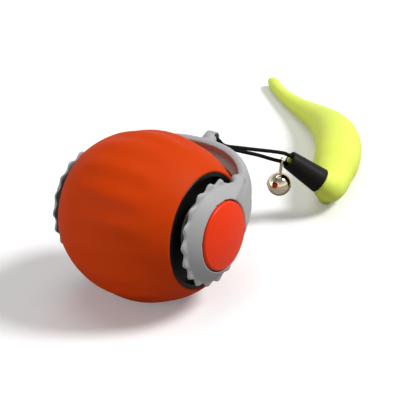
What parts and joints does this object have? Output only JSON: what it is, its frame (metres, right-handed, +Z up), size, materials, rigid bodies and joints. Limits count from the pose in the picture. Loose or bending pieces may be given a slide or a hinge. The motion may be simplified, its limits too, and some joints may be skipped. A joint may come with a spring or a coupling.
{
  "type": "cat teaser ball",
  "caption": "Self-rolling orange silicone cat toy ball on a hanging motor frame, with a grey bracket, power button, elastic cord, jingle bell and lime silicone tail",
  "frame": {"origin": "on the floor right under the middle of the ball, at the point that the ball rests on", "axes": "+X along the ball's axle to the power button, +Y to the rear where the tail trails, +Z up"},
  "size_m": [0.0999, 0.2086, 0.0632],
  "materials": {
    "silicone_orange": "matte moulded silicone",
    "silicone_lime": "matte moulded silicone",
    "rubber_black": "matte moulded rubber",
    "cord_black": "smooth elastic cord",
    "plastic_black": "fine moulded texture",
    "plastic_grey": "satin moulded",
    "plastic_red": "satin moulded",
    "plastic_white": "natural moulded",
    "bell_chrome": "polished plating",
    "steel": "plain zinc plated",
    "weight_iron": "plain cast",
    "board_green": "solder mask",
    "chip_black": "moulded resin",
    "battery_foil": "laminated foil",
    "foam_grey": "soft foam"
  },
  "bodies": {
    "chassis": {"chassis_left": "plastic_black", "chassis_right": "plastic_black", "chassis_screws": "steel", "gearbox": "steel", "motor_can": "steel", "battery_cell": "battery_foil", "battery_pad": "foam_grey", "counterweight": "weight_iron", "circuit_board": "board_green", "board_screws": "steel", "control_chip": "chip_black", "motor_driver": "chip_black", "motion_sensor": "steel", "battery_leads": "rubber_black", "motor_leads": "rubber_black", "charge_leads": "rubber_black", "bracket": "plastic_grey", "right_hub_screws": "steel", "left_hub_screws": "steel", "button_guide": "plastic_black", "button_spring": "steel", "power_switch": "chip_black", "switch_board": "board_green", "left_cap": "plastic_red", "usb_socket": "steel", "charge_board": "board_green"},
    "drum": {"ball_cover": "silicone_orange", "drum_left_half": "plastic_black", "drum_right_half": "plastic_black", "drum_screws": "steel", "ring_gear": "plastic_white", "right_bushing": "plastic_white", "left_bushing": "plastic_white"},
    "pinion": {"motor_shaft": "steel", "motor_pinion": "plastic_white"},
    "button": {"button_cap": "plastic_red", "button_plunger": "plastic_white", "plunger_clip": "steel"},
    "switch": {"switch_stem": "plastic_white"},
    "cord": {"cord_loop": "cord_black"},
    "tail": {"cord_sleeve": "rubber_black", "tail": "silicone_lime"},
    "bell": {"bell_upper": "bell_chrome", "bell_lower": "bell_chrome", "bell_loop": "bell_chrome"},
    "pellet": {"bell_pellet": "steel"}
  },
  "joints": [
    {"name": "drum_spin", "type": "hinge", "parent": "chassis", "child": "drum", "pos_m": [0, 0, 0.03161], "axis": [1, 0, 0], "continuous": true},
    {"name": "pinion_turn", "type": "hinge", "parent": "chassis", "child": "pinion", "pos_m": [0, 0, 0.01691], "axis": [1, 0, 0], "continuous": true},
    {"name": "button_press", "type": "slide", "parent": "chassis", "child": "button", "axis": [-1, 0, 0], "range_m": [0, 0.0008], "stiffness_N_per_m": 1500, "springref_m": -0.0004, "deforming": ["button_spring"]},
    {"name": "switch_press", "type": "slide", "parent": "chassis", "child": "switch", "axis": [-1, 0, 0], "range_m": [0, 0.00025]},
    {"name": "cord_swing", "type": "hinge", "parent": "chassis", "child": "cord", "pos_m": [0, 0.04261, 0.04553], "axis": [1, 0, 0], "range_deg": [-50, 80]},
    {"name": "tail_lift", "type": "hinge", "parent": "cord", "child": "tail", "pos_m": [0.0132, 0.0744, 0.025], "axis": [0.636, -0.7717, 0], "range_deg": [-4, 60], "deforming": ["cord_loop"]},
    {"name": "bell_swing", "type": "hinge", "parent": "cord", "child": "bell", "pos_m": [0.01122, 0.0722, 0.02472], "axis": [0.636, -0.7717, 0], "range_deg": [-60, 6]},
    {"name": "pellet_rattle", "type": "slide", "parent": "bell", "child": "pellet", "axis": [0.1207, 0.0995, 0.9877], "range_m": [0, 0.0055]}
  ],
  "couplings": [
    {"joint": "pinion_turn", "follows": "drum_spin", "ratio": 4.5},
    {"joint": "switch_press", "follows": "button_press", "ratio": 0.3125}
  ]
}
